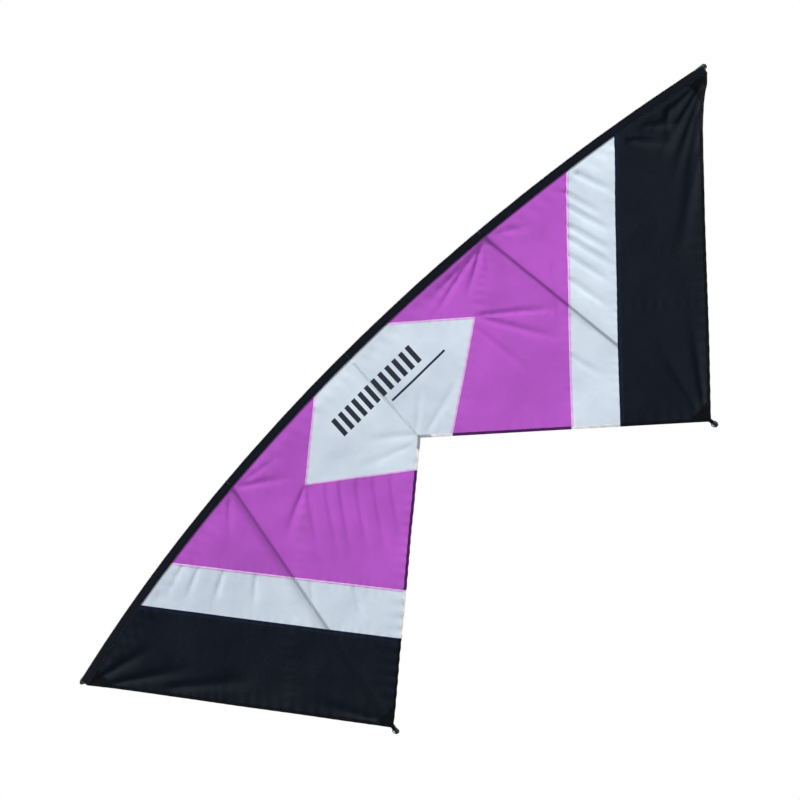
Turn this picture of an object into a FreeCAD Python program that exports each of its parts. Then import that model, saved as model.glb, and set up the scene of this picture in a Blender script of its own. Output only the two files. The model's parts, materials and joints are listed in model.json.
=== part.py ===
import FreeCAD, Part
import math
import os

# A framed quad-line stunt kite. Millimetres. The kite stands upright: +Z points up to its leading
# edge, the printed front faces -Y, the tubes lie on the back at +Y, and +X is the right wing as
# seen from the front. The origin is the leading edge tube's centre, on the middle of the span.
Vector = FreeCAD.Vector
ORIGIN = Vector(0, 0, 0)
X_AXIS = Vector(1, 0, 0)
Y_AXIS = Vector(0, 1, 0)
Z_AXIS = Vector(0, 0, 1)

# The leading edge is one circular arc, because the tubes bend under the pull of the sail.
HALF_SPAN = 1180.0
BEND_BACK = 150.0
BEND_DOWN = 92.0

# Carbon tubes and their fittings.
TUBE_RADIUS = 4.0
FERRULE_RADIUS = 3.0
RUNNING_GAP = 0.05
CENTER_TUBE_HALF = 400.0
FERRULE_HALF = 60.0
CAP_RADIUS = 5.2
CAP_SKIRT = 18.0
CAP_HEAD = 10.0
TIP_CAP_LENGTH = 31.0
NOCK_WIDTH = 3.2
NOCK_DEPTH = 5.0

# Leading edge sleeve: a pocket round the tube that closes to a flat double hem on the sail.
POCKET_RADIUS = 6.0
SLEEVE_THICKNESS = 0.65
POCKET_LOW = 13.0
HEM_LOW = 20.0
SAIL_TOP = 17.0
HEM_GAP = 0.55
TIP_OVERHANG = 8.0
WINDOW_HALF = 12.0
WINDOW_LOW = -16.5
WINDOW_REACH = 12.0
CROWN_CUT_FRONT = -2.0
CROWN_CUT_LOW = 3.0
SLOT_HALF = 2.4
SLOT_LOW = -8.0

# Sail cloth, and the outline and seams of the right wing as points across and up.
CLOTH_HALF = 0.25
TAPE_HALF = 0.6
EDGE_GROWTH = 0.6
TAPE_WIDTH = 7.0
SPAR_STATION = 473.0
NOTCH = Vector(0, 0, -298)
FOOT = Vector(579, 51, -786)
WHITE_TOP = Vector(156, 0, -34)
WHITE_POINT = Vector(318, 0, -169)
WHITE_FOOT = Vector(65, 0, -352)
STRIPE_IN_TOP = Vector(734, 0, -61)
STRIPE_IN_FOOT = Vector(303, 0, -555)
STRIPE_OUT_TOP = Vector(882, 0, -79)
STRIPE_OUT_FOOT = Vector(399, 0, -637)
ABOVE = 80.0
BELOW = -920.0
BEYOND = 1300.0

# Reinforcements at the corners.
TIP_PATCH_ALONG = 62.0
TIP_PATCH_DOWN = 80.0
FOOT_PATCH = 58.0
NOTCH_BINDING = 32.0

# Down spars lie behind the sail, nearly upright, and stand past the lower corners.
SPAR_OFFSET_TOP = 6.5
SPAR_OFFSET_FOOT = 8.0
SPAR_OVERHANG = 18.0

# Shock cord loops and the webbing tabs that hold them.
CORD_RADIUS = 1.25
CORD_GAP = 0.25
LOOP_HALF_WIDTH = 7.0
LOOP_CORNER = 2.6
TAB_CHANNEL_RADIUS = 2.6
TAB_HALF_WIDTH = 4.3
TAB_THICKNESS = 1.4
TIP_TAB_INSET = 34.0
TIP_TAB_LENGTH = 24.0
TIP_TAB_OFFSET = 8.2
FOOT_TAB_LENGTH = 16.0
FOOT_TAB_DROP = 5.0
TOP_RING_RADIUS = 5.8

# Worked out from the driving dimensions.
BEND = math.hypot(BEND_BACK, BEND_DOWN)
BEND_DIRECTION = Vector(0, BEND_BACK / BEND, -BEND_DOWN / BEND)
ARC_RADIUS = (HALF_SPAN**2 + BEND**2) / (2 * BEND)
ARC_CENTRE = BEND_DIRECTION * ARC_RADIUS
ARC_AXIS = X_AXIS.cross(BEND_DIRECTION)
TIP_STATION = ARC_RADIUS * math.asin(HALF_SPAN / ARC_RADIUS)
SLEEVE_END = TIP_STATION - TIP_OVERHANG
TAB_STATION = TIP_STATION - TIP_TAB_INSET


def carried(shape, station):
    """Carry a shape made at the middle of the leading edge along the arc to a station."""
    moved = shape.copy()
    moved.rotate(ARC_CENTRE, ARC_AXIS, math.degrees(station / ARC_RADIUS))
    return moved


def carried_point(point, station):
    """Carry a point along the arc in the same way."""
    turn = FreeCAD.Rotation(ARC_AXIS, math.degrees(station / ARC_RADIUS))
    return ARC_CENTRE + turn.multVec(point - ARC_CENTRE)


def disc(radius, hole=0.0, centre=ORIGIN, direction=X_AXIS):
    """A round face, or a ring face when it has a hole."""
    full = Part.Face(Part.Wire([Part.makeCircle(radius, centre, direction)]))
    if hole == 0.0:
        return full
    inner = Part.Face(Part.Wire([Part.makeCircle(hole, centre, direction)]))
    return full.cut(inner).Faces[0]


def along_arc(face, start, end):
    """Sweep a face drawn at the middle of the leading edge from one station to another."""
    turn = math.degrees((end - start) / ARC_RADIUS)
    return carried(face, start).revolve(ARC_CENTRE, ARC_AXIS, turn)


def cylinder(start, end, radius, hole=0.0):
    """A round bar or tube between two points."""
    direction = end - start
    return disc(radius, hole, start, direction).extrude(direction)


def box(low, high):
    """A box between two opposite corners."""
    size = high - low
    return Part.makeBox(size.x, size.y, size.z, low)


def rounded_loop(points, radius):
    """A closed wire through the points, with every corner rounded to one radius."""
    count = len(points)
    corners = []
    for i in range(count):
        here = points[i]
        back = (points[i - 1] - here).normalize()
        ahead = (points[(i + 1) % count] - here).normalize()
        half_turn = back.getAngle(ahead) / 2
        reach = radius / math.tan(half_turn)
        middle = here + (back + ahead).normalize() * (radius / math.sin(half_turn) - radius)
        corners.append((here + back * reach, middle, here + ahead * reach))
    edges = []
    for i in range(count):
        start, middle, end = corners[i]
        edges.append(Part.Arc(start, middle, end).toShape())
        edges.append(Part.LineSegment(end, corners[(i + 1) % count][0]).toShape())
    return Part.Wire(edges)


# Sail cloth


def hem_arc(depth, start, end):
    """The curve that lies a given depth below the leading edge tube, between two stations."""
    at_depth = Vector(0, 0, -depth)
    ends = [carried_point(at_depth, s) for s in (start, (start + end) / 2, end)]
    return Part.Arc(*ends).toShape()


def sail_layer(front, back, growth=0.0):
    """The right wing's whole cloth between two depths, with its free edges let out by growth.

    Inside the down spar the cloth is ruled from the leading edge to the trailing edge, and
    outside it all rulings run to the foot, so that the spar's line lies in the cloth.
    """
    drop = Vector(0, 0, -growth)
    foot = FOOT + Vector(growth, 0, -growth)
    inner_top = hem_arc(SAIL_TOP, 0, SPAR_STATION)
    inner = Part.makeRuledSurface(inner_top, Part.LineSegment(NOTCH + drop, foot).toShape())
    outer_top = hem_arc(SAIL_TOP, SPAR_STATION, SLEEVE_END + growth)
    outer = Part.makeLoft([Part.Wire([outer_top]), Part.Vertex(foot)], False, True)
    layers = []
    for face in (inner, outer):
        face.translate(Y_AXIS * front)
        layers.append(face.extrude(Y_AXIS * (back - front)))
    return layers[0].fuse(layers[1])


def both_faces(growth=0.0):
    """Thin layers that lie on the front and on the back of the cloth."""
    front = sail_layer(-TAPE_HALF, -CLOTH_HALF, growth)
    back = sail_layer(CLOTH_HALF, TAPE_HALF, growth)
    return [front, back]


def prism(points):
    """A prism through the sail, from an outline across and up."""
    outline = [Vector(p.x, -100, p.z) for p in points]
    face = Part.Face(Part.makePolygon(outline + outline[:1]))
    return face.extrude(Y_AXIS * 400)


def at_height(low, high, height):
    """The point at a height on the line through two points."""
    return low + (high - low) * ((height - low.z) / (high.z - low.z))


def at_center(near, far):
    """The point on the middle of the kite, on the line through two points."""
    return near + (far - near) * (near.x / (near.x - far.x))


def toward(start, end, distance):
    """The point a given distance from one point toward another, seen from the front."""
    run = Vector(end.x - start.x, 0, end.z - start.z)
    return start + run.normalize() * distance


def shifted(low, high, distance):
    """A line through two points moved sideways, to the left when looking from low to high."""
    run = Vector(high.x - low.x, 0, high.z - low.z).normalize()
    side = Vector(-run.z, 0, run.x) * distance
    return low + side, high + side


def wing_panels():
    """The four cloth panels of the right wing, cut from one layer along the seams."""
    white_up = at_height(WHITE_POINT, WHITE_TOP, ABOVE)
    white_low = at_center(WHITE_POINT, WHITE_FOOT)
    in_up = at_height(STRIPE_IN_FOOT, STRIPE_IN_TOP, ABOVE)
    in_low = at_height(STRIPE_IN_TOP, STRIPE_IN_FOOT, BELOW)
    out_up = at_height(STRIPE_OUT_FOOT, STRIPE_OUT_TOP, ABOVE)
    out_low = at_height(STRIPE_OUT_TOP, STRIPE_OUT_FOOT, BELOW)
    far_up = Vector(BEYOND, 0, ABOVE)
    far_low = Vector(BEYOND, 0, BELOW)
    outlines = {
        "center_panel": [Vector(0, 0, ABOVE), white_up, WHITE_POINT, white_low],
        "inner_panel": [white_up, in_up, in_low, white_low, WHITE_POINT],
        "stripe_panel": [in_up, out_up, out_low, in_low],
        "tip_panel": [out_up, far_up, far_low, out_low],
    }
    cloth = sail_layer(-CLOTH_HALF, CLOTH_HALF)
    return {name: cloth.common(prism(points)) for name, points in outlines.items()}


# Edge tapes and corner patches


def leech_strip():
    """The region outside a line that runs one tape width inside the leech."""
    low, high = shifted(FOOT, sail_tip(), TAPE_WIDTH)
    return prism([at_height(low, high, ABOVE), Vector(BEYOND, 0, ABOVE),
                  Vector(BEYOND, 0, BELOW), at_height(low, high, BELOW)])


def trailing_strip():
    """The region below a line that runs one tape width above the trailing edge."""
    low, high = shifted(NOTCH, FOOT, TAPE_WIDTH)
    return prism([at_center(high, low), at_height(low, high, BELOW), Vector(0, 0, BELOW)])


def sail_tip():
    """The cloth's upper outer corner."""
    return carried_point(Vector(0, 0, -SAIL_TOP), SLEEVE_END)


def sleeve_zone():
    """Everything near the leading edge that the sleeve takes up."""
    face = Part.Face(Part.makePolygon([Vector(0, y, z) for y, z in
                                       ((-9, 9), (9, 9), (9, -HEM_LOW - 0.3),
                                        (-9, -HEM_LOW - 0.3), (-9, 9))]))
    return along_arc(face, 0, TIP_STATION)


def edge_tapes(panels):
    """Folded tape round the cloth's free edges, and the stiff binding of the notch."""
    wrapped = sail_layer(-TAPE_HALF, TAPE_HALF, EDGE_GROWTH).cut(panels).cut(sleeve_zone())
    leech = wrapped.common(leech_strip())
    trailing = wrapped.common(trailing_strip()).cut(leech_strip())
    reach = NOTCH_BINDING * math.cos(math.atan2(NOTCH.z - FOOT.z, FOOT.x))
    near_notch = prism([Vector(0, 0, ABOVE), Vector(reach, 0, ABOVE),
                        Vector(reach, 0, BELOW), Vector(0, 0, BELOW)])
    return leech, trailing.cut(near_notch), trailing.common(near_notch)


def corner_patch(first, second, outer):
    """Cloth on both faces of a corner, outside the line through two points on its edges."""
    region = prism([first, outer, second])
    plies = both_faces()
    for i, ply in enumerate(plies):
        corner = ply.cut(sleeve_zone()).common(region)
        plies[i] = corner.cut(leech_strip()).cut(trailing_strip())
    return Part.makeCompound(plies)


def tip_patch():
    """The patch at the wing tip, under the sleeve's end."""
    inner = carried_point(Vector(0, 0, -SAIL_TOP), SLEEVE_END - TIP_PATCH_ALONG)
    lower = toward(sail_tip(), FOOT, TIP_PATCH_DOWN)
    up = toward(lower, inner, 2 * TIP_PATCH_DOWN)
    down = toward(inner, lower, 2 * TIP_PATCH_DOWN)
    return corner_patch(up, down, Vector(BEYOND, 0, ABOVE))


def foot_patch():
    """The patch at the wing's lower corner."""
    on_trailing = toward(FOOT, NOTCH, FOOT_PATCH)
    on_leech = toward(FOOT, sail_tip(), FOOT_PATCH)
    left = toward(on_leech, on_trailing, 2 * FOOT_PATCH)
    right = toward(on_trailing, on_leech, 2 * FOOT_PATCH)
    return corner_patch(left, right, Vector(FOOT.x, 0, BELOW))


# Leading edge


def teardrop(radius, half_gap, narrow):
    """Where a pocket's round crown runs straight on toward its narrow end, on the back half."""
    reach = math.hypot(half_gap, narrow)
    toward_end = math.atan2(half_gap, narrow)
    tangent = toward_end + math.acos(radius / reach)
    return Vector(0, radius * math.sin(tangent), -radius * math.cos(tangent))


def sleeve_section():
    """The sleeve's section on the middle of the kite: a round pocket and two flat plies."""
    outer_half = HEM_GAP + SLEEVE_THICKNESS
    pocket_inner = POCKET_RADIUS - SLEEVE_THICKNESS
    outer = teardrop(POCKET_RADIUS, outer_half, POCKET_LOW)
    inner = teardrop(pocket_inner, HEM_GAP, POCKET_LOW)
    back = [Vector(0, outer_half, -HEM_LOW), Vector(0, outer_half, -POCKET_LOW), outer]
    front = [Vector(0, -p.y, p.z) for p in reversed(back)]
    lining_front = [Vector(0, -HEM_GAP, -HEM_LOW), Vector(0, -HEM_GAP, -POCKET_LOW),
                    Vector(0, -inner.y, inner.z)]
    lining_back = [Vector(0, -p.y, p.z) for p in reversed(lining_front)]
    runs = [back, Vector(0, 0, POCKET_RADIUS), front + lining_front,
            Vector(0, 0, pocket_inner), lining_back + back[:1]]
    edges = []
    for i in (0, 2, 4):
        for start, end in zip(runs[i], runs[i][1:]):
            edges.append(Part.LineSegment(start, end).toShape())
    for i in (1, 3):
        edges.append(Part.Arc(runs[i - 1][-1], runs[i], runs[i + 1][0]).toShape())
    return Part.Face(Part.Wire(Part.__sortEdges__(edges)))


def cross_face(low, high):
    """A rectangle across the leading edge, between two corners given back and up."""
    corners = [Vector(0, y, z) for y, z in ((low[0], low[1]), (high[0], low[1]),
                                            (high[0], high[1]), (low[0], high[1]))]
    return Part.Face(Part.makePolygon(corners + corners[:1]))


def sleeve():
    """One wing's sleeve, open behind the down spar and behind the tip loop.

    At the down spar it is also slotted, for the spar's own loop.
    """
    whole = sleeve_section()
    behind = cross_face((HEM_GAP - 0.1, WINDOW_LOW), (WINDOW_REACH, WINDOW_REACH))
    crown = cross_face((CROWN_CUT_FRONT, CROWN_CUT_LOW), (WINDOW_REACH, WINDOW_REACH))
    windowed = whole.cut([behind, crown])
    slotted = windowed.cut(cross_face((-WINDOW_REACH, SLOT_LOW), (WINDOW_REACH, WINDOW_REACH)))
    edges = [0, SPAR_STATION - WINDOW_HALF, SPAR_STATION - SLOT_HALF,
             SPAR_STATION + SLOT_HALF, SPAR_STATION + WINDOW_HALF, TAB_STATION, SLEEVE_END]
    spans = []
    for i, section in enumerate((whole, windowed, slotted, windowed, whole, windowed)):
        for face in section.Faces:
            spans.append(along_arc(face, edges[i], edges[i + 1]))
    return spans[0].fuse(spans[1:])


def tip_cap():
    """The notched cap on the outer tube's end."""
    half = TIP_CAP_LENGTH / 2
    end = X_AXIS * half
    floor = X_AXIS * (half - CAP_HEAD + 0.2)
    body = cylinder(end * -1, end, CAP_RADIUS)
    socket = cylinder(end * -1, floor, TUBE_RADIUS + 2 * RUNNING_GAP)
    nock = box(Vector(half - NOCK_DEPTH, -NOCK_WIDTH / 2, -CAP_RADIUS),
               Vector(half + 1, NOCK_WIDTH / 2, CAP_RADIUS))
    return carried(body.cut(socket).cut(nock), TIP_STATION - half)


# Shock cord loops and their tabs


def cord_loop(first, second, side):
    """A flat loop of cord between two bights, each given by its middle point."""
    reach = side * LOOP_HALF_WIDTH
    corners = [first + reach, first - reach, second - reach, second + reach]
    section = Part.Wire([Part.makeCircle(CORD_RADIUS, first, side)])
    return rounded_loop(corners, LOOP_CORNER).makePipeShell([section], True, True)


def tab(length, rise, channel):
    """A webbing strip along -X that ends in a channel along Z, at the channel's height in Y."""
    outline = [(-length, rise - TAB_THICKNESS / 2), (channel.x, channel.y - TAB_THICKNESS / 2),
               (channel.x, channel.y + TAB_THICKNESS / 2), (-length, rise + TAB_THICKNESS / 2)]
    low = Vector(0, 0, -TAB_HALF_WIDTH)
    corners = [Vector(x, y, 0) + low for x, y in outline]
    strip = Part.Face(Part.makePolygon(corners + corners[:1])).extrude(low * -2)
    bulge = cylinder(channel + low, channel - low, TAB_CHANNEL_RADIUS)
    hole = cylinder(channel + low * 2, channel - low * 2, CORD_RADIUS + CORD_GAP)
    return strip.fuse(bulge).cut(hole)


def tip_channel():
    """Where the tip loop runs through its tab, before the tab is carried along the arc."""
    return Vector(TAB_CHANNEL_RADIUS, TIP_TAB_OFFSET, 0)


def tip_tab():
    """The tab on the back of the sleeve, where its open end begins."""
    rise = POCKET_RADIUS + TAB_THICKNESS / 2 + 0.05
    return carried(tab(TIP_TAB_LENGTH, rise, tip_channel()), TAB_STATION)


def tip_loop():
    """The loop from the tip tab round the notched cap."""
    in_nock = Vector(-NOCK_DEPTH + CORD_RADIUS + CORD_GAP, 0, 0)
    side = carried_point(Z_AXIS, TIP_STATION) - carried_point(ORIGIN, TIP_STATION)
    return cord_loop(carried_point(in_nock, TIP_STATION),
                     carried_point(tip_channel(), TAB_STATION), side)


# Down spar, in its own frame: the spar hangs from the origin along -Z, with X across the wing.


SPAR_TOP_ON_ARC = carried_point(ORIGIN, SPAR_STATION)
SPAR_TOP = SPAR_TOP_ON_ARC + Y_AXIS * SPAR_OFFSET_TOP
SPAR_FOOT = FOOT + Y_AXIS * SPAR_OFFSET_FOOT
SPAR_DOWN = (SPAR_FOOT - SPAR_TOP).normalize()
SPAR_SIDE = SPAR_DOWN.cross(Y_AXIS).normalize()
SPAR_BACK = SPAR_SIDE.cross(SPAR_DOWN)
SPAR_LENGTH = (SPAR_FOOT - SPAR_TOP).Length + SPAR_OVERHANG
SPAR_TURN = FreeCAD.Rotation(SPAR_SIDE, SPAR_BACK, SPAR_DOWN * -1, "ZXY")


def on_spar(shape, base=SPAR_TOP):
    """Place a shape that is drawn in the spar's frame."""
    placed = shape.copy()
    placed.Placement = FreeCAD.Placement(base, SPAR_TURN)
    return placed


def leading_tangent():
    """The leading edge tube's direction at the down spar."""
    return carried_point(X_AXIS, SPAR_STATION) - SPAR_TOP_ON_ARC


def spar_tube():
    """The carbon tube of the down spar."""
    top = Vector(0, 0, -CAP_HEAD)
    low = Vector(0, 0, -SPAR_LENGTH + CAP_HEAD)
    return on_spar(cylinder(top, low, TUBE_RADIUS, FERRULE_RADIUS + RUNNING_GAP))


def spar_cap(head_end, skirt_end):
    """A plastic cap from its closed end to its open end, over the tube."""
    body = cylinder(head_end, skirt_end, CAP_RADIUS)
    inner = head_end + (skirt_end - head_end).normalize() * (CAP_HEAD - 0.2)
    return body.cut(cylinder(inner, skirt_end, TUBE_RADIUS + RUNNING_GAP))


def top_cap():
    """The cap that rests against the leading edge tube, with a tunnel for its loop."""
    blank = on_spar(spar_cap(ORIGIN, Vector(0, 0, -CAP_HEAD - CAP_SKIRT)))
    tangent = leading_tangent()
    saddle = cylinder(SPAR_TOP_ON_ARC - tangent * 20, SPAR_TOP_ON_ARC + tangent * 20,
                      TUBE_RADIUS + 0.3)
    tunnel = Part.makeTorus(TOP_RING_RADIUS, CORD_RADIUS + 0.05, SPAR_TOP_ON_ARC, tangent)
    return blank.cut(saddle).cut(tunnel)


def top_loop():
    """The ring of shock cord round the leading edge tube."""
    return Part.makeTorus(TOP_RING_RADIUS, CORD_RADIUS, SPAR_TOP_ON_ARC, leading_tangent())


def foot_cap():
    """The notched cap past the lower corner."""
    end = Vector(0, 0, -SPAR_LENGTH)
    cap = spar_cap(end, end + Z_AXIS * (CAP_HEAD + CAP_SKIRT))
    nock = box(end + Vector(-CAP_RADIUS, -NOCK_WIDTH / 2, -1),
               end + Vector(CAP_RADIUS, NOCK_WIDTH / 2, NOCK_DEPTH))
    return on_spar(cap.cut(nock))


def foot_channel():
    """Where the foot loop runs through its tab, in the spar's turn from the lower corner."""
    return Vector(0, -0.2, -FOOT_TAB_DROP)


def foot_tab():
    """The tab sewn over the lower corner, with its channel across the wing."""
    plies = box(Vector(-TAB_HALF_WIDTH, -TAB_THICKNESS, -FOOT_TAB_DROP + 1),
                Vector(TAB_HALF_WIDTH, TAB_THICKNESS, FOOT_TAB_LENGTH - FOOT_TAB_DROP))
    across = Vector(TAB_HALF_WIDTH, 0, 0)
    bulge = cylinder(foot_channel() - across, foot_channel() + across, TAB_CHANNEL_RADIUS)
    hole = cylinder(foot_channel() - across * 2, foot_channel() + across * 2,
                    CORD_RADIUS + CORD_GAP)
    whole = on_spar(plies.fuse(bulge).cut(hole), FOOT)
    return whole.cut(sail_layer(-TAPE_HALF - 0.1, TAPE_HALF + 0.1, EDGE_GROWTH + 0.3))


def foot_loop():
    """The loop from the foot tab round the spar's notched cap."""
    in_nock = Vector(0, 0, -SPAR_LENGTH + NOCK_DEPTH - CORD_RADIUS - CORD_GAP)
    return cord_loop(SPAR_TOP + SPAR_TURN.multVec(in_nock),
                     FOOT + SPAR_TURN.multVec(foot_channel()), SPAR_SIDE)


# Build and write


def write(name, shape):
    """Write one sub-part, and report whether it is sound."""
    shape.exportStep("parts/%s.step" % name)
    size = shape.BoundBox
    print("%-28s %s %10.1f mm3  %6.0f %6.0f %6.0f" % (
        name, "ok " if shape.isValid() else "BAD", shape.Volume,
        size.XLength, size.YLength, size.ZLength))


def write_pair(name, shape):
    """Write a right-hand sub-part and its mirror image on the left wing."""
    write(name + "_right", shape)
    write(name + "_left", shape.mirror(ORIGIN, X_AXIS))


def tube_section():
    """The ring section of the carbon tubes."""
    return disc(TUBE_RADIUS, FERRULE_RADIUS + RUNNING_GAP)


os.makedirs("parts", exist_ok=True)

panels = wing_panels()
for panel_name, panel in panels.items():
    write_pair(panel_name, panel)
leech_tape, trailing_tape, notch_half = edge_tapes(list(panels.values()))
write_pair("leech_tape", leech_tape)
write_pair("trailing_tape", trailing_tape)
write("notch_binding", notch_half.fuse(notch_half.mirror(ORIGIN, X_AXIS)))
write_pair("tip_patch", tip_patch())
write_pair("foot_patch", foot_patch())

write_pair("leading_edge_sleeve", sleeve())
write("center_tube", along_arc(tube_section(), -CENTER_TUBE_HALF, CENTER_TUBE_HALF))
write_pair("outer_tube", along_arc(tube_section(), CENTER_TUBE_HALF + 0.3,
                                   TIP_STATION - CAP_HEAD))
write_pair("ferrule", along_arc(disc(FERRULE_RADIUS), CENTER_TUBE_HALF - FERRULE_HALF,
                                CENTER_TUBE_HALF + FERRULE_HALF))
write_pair("tip_cap", tip_cap())
write_pair("tip_tab", tip_tab())
write_pair("tip_loop", tip_loop())

write_pair("down_spar", spar_tube())
write_pair("spar_top_cap", top_cap())
write_pair("spar_top_loop", top_loop())
write_pair("spar_foot_cap", foot_cap())
write_pair("foot_tab", foot_tab())
write_pair("foot_loop", foot_loop())

print("hinge on the leading edge at", SPAR_TOP_ON_ARC, "along", leading_tangent())
print("arc centre", ARC_CENTRE, "axis", ARC_AXIS, "radius", ARC_RADIUS)
print("spar down", SPAR_DOWN, "length", SPAR_LENGTH)
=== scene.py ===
import json
import math

import bmesh
import bpy
import numpy as np
from mathutils import Matrix, Vector
from mathutils.bvhtree import BVHTree


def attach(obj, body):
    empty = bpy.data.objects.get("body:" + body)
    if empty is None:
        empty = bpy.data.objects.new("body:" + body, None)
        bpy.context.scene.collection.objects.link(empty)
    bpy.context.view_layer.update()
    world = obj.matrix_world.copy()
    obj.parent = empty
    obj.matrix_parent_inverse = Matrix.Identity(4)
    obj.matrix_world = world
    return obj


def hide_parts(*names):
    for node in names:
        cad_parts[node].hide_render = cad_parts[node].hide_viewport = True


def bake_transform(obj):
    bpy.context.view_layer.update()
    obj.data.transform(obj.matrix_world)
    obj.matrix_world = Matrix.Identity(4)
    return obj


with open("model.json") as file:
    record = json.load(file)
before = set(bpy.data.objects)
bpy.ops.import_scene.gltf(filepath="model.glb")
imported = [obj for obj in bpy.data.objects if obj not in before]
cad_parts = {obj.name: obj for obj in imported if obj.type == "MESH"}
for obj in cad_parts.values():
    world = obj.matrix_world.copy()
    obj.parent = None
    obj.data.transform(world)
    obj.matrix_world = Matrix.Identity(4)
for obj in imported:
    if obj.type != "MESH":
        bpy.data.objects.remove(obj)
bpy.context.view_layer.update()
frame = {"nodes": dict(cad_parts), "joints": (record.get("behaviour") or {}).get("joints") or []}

# A framed quad-line kite, in metres. +X is the right wing as seen from the printed front, which
# faces -Y, and +Z points up to the leading edge. Outline points are (across, up) on the right wing.
MM = 0.001
HALF_SPAN = 1.180
TIP_OVERHANG = 0.008
SAIL_TOP = 0.017
NOTCH = np.array((0.0, 0.0, -0.298))
FOOT = np.array((0.579, 0.051, -0.786))
WHITE_TOP = (0.156, -0.034)
WHITE_POINT = (0.318, -0.169)
WHITE_FOOT = (0.065, -0.352)
STRIPE_IN_TOP = (0.734, -0.061)
STRIPE_IN_FOOT = (0.303, -0.555)
STRIPE_OUT_TOP = (0.882, -0.079)
STRIPE_OUT_FOOT = (0.399, -0.637)
HEM_WIDTH = 0.0075
TIP_PATCH_ALONG = 0.062
TIP_PATCH_DOWN = 0.080
FOOT_PATCH = 0.058
NOTCH_REACH = 0.025

# Cloth mesh.
CELL = 0.005
HIDDEN_TOP = 0.0145

# Overlaps where panels are sewn together.
PINK_OVERLAP = 0.0055
NAVY_OVERLAP = 0.011
CENTER_OVERLAP = 0.004

# How thick a sewn piece of the sail is, by the last word of its name.
THICKNESS = {"hem": 1.2 * MM, "binding": 1.2 * MM, "overlap": 0.5 * MM, "seam": 0.5 * MM,
             "patch": 1.0 * MM}

# Where the cloth is held flat: just under the sleeve, and just over the down spar.
RELIEF_FULL = 0.046
SPAR_FLAT = (0.003, 0.022)

# How hollow the taut outer edge hangs: its depth on each wing, and the share from foot to tip.
LEECH_HOLLOW = {"right": 0.0115, "left": 0.0015}
HOLLOW_ALONG = (0.0, 0.2, 0.4, 0.6, 0.75, 0.84, 0.91, 0.96, 1.0)
HOLLOW_SHARE = (0.0, 0.20, 0.46, 0.76, 0.97, 1.00, 0.78, 0.36, 0.0)
HOLLOW_REACH = 0.16
HEM_CLEAR = 0.021
HEM_FAR = 0.075

# Sleeve section.
POCKET_RADIUS = 0.006
SLEEVE_THICKNESS = 0.00065
HEM_HALF = 0.0012
POCKET_LOW = 0.013
FRONT_HEM_LOW = 0.0175
BACK_HEM_LOW = 0.020
WINDOW_HALF = 0.012
WINDOW_LOW = -0.0165
CROWN_CUT_FRONT = -0.002
CROWN_CUT_LOW = 0.003
SLOT_HALF = 0.0018
SLOT_LOW = -0.008

# Stitching: pitch along a row, swing to each side, and how far a row lies off the cloth's middle.
ZIGZAG_PITCH = 0.0032
ZIGZAG_SWING = 0.0016
THREAD_HALF = 0.22 * MM
STITCH_LIFT = 0.75 * MM
SEAM_ROW = 0.0027
BLACK_ROW = 0.002
PATCH_ROW = 0.0025
HEM_ROW = HEM_WIDTH - 0.0025
SLEEVE_PITCH = 0.0034
SLEEVE_SWING = 0.0014

# Fittings.
CORD_RADIUS = 0.00125
CORD_GAP = 0.00025
LOOP_HALF_WIDTH = 0.007
LOOP_CORNER = 0.0026
NOCK_DEPTH = 0.005
TAB_HALF_WIDTH = 0.0043
TAB_THICKNESS = 0.0012
TAB_WRAP = 0.0020
TIP_TAB_INSET = 0.034
TIP_CHANNEL = np.array((0.0026, 0.0082, 0.0))
TIP_TAB_LENGTH = 0.024
FOOT_TAB_DROP = 0.005
FOOT_TAB_RISE = 0.011
TOP_RING_RADIUS = 0.0058
SPAR_OFFSET_TOP = 0.0065
SPAR_OFFSET_FOOT = 0.008
SPAR_OVERHANG = 0.018

SIDES = {"right": 1, "left": -1}
CLOTH_SEEDS = {"right": 11, "left": 53}
SLEEVE_SEEDS = {"right": 5, "left": 9}
MIRROR = np.array((-1.0, 1.0, 1.0))


def joint(name):
    """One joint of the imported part."""
    return next(j for j in frame["joints"] if j["name"] == name)


ARC_CENTRE = np.array(joint("right_outer_tube_pull")["pos_m"])
ARC_AXIS = np.array(joint("right_outer_tube_pull")["axis"])
ARC_RADIUS = float(np.linalg.norm(ARC_CENTRE))
SPAR_PIVOT = np.array(joint("right_down_spar_swing")["pos_m"])
SPAR_STATION = ARC_RADIUS * math.asin(SPAR_PIVOT[0] / ARC_RADIUS)
TIP_STATION = ARC_RADIUS * math.asin(HALF_SPAN / ARC_RADIUS)
SLEEVE_END = TIP_STATION - TIP_OVERHANG
TAB_STATION = TIP_STATION - TIP_TAB_INSET


def carried(points, stations):
    """Points given on the middle of the kite, carried along the leading edge's arc."""
    arm = np.asarray(points, float) - ARC_CENTRE
    turn = np.asarray(stations, float)[..., None] / ARC_RADIUS
    along = (arm @ ARC_AXIS)[..., None] * ARC_AXIS
    return ARC_CENTRE + along + (arm - along) * np.cos(turn) + np.cross(ARC_AXIS, arm) * np.sin(turn)


def unit(vector):
    """A vector at length one."""
    return np.asarray(vector, float) / np.linalg.norm(vector)


SPAR_DOWN = unit(FOOT + (0, SPAR_OFFSET_FOOT, 0) - SPAR_PIVOT - (0, SPAR_OFFSET_TOP, 0))
SPAR_SIDE = unit(np.cross(SPAR_DOWN, (0, 1, 0)))
SPAR_BACK = np.cross(SPAR_SIDE, SPAR_DOWN)
SPAR_END = FOOT + (0, SPAR_OFFSET_FOOT, 0) + SPAR_DOWN * SPAR_OVERHANG
SAIL_TIP = carried((0, 0, -SAIL_TOP), SLEEVE_END)[[0, 2]]
NOTCH_FLAT = NOTCH[[0, 2]]
FOOT_FLAT = FOOT[[0, 2]]


# Camera, light and floor


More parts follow.
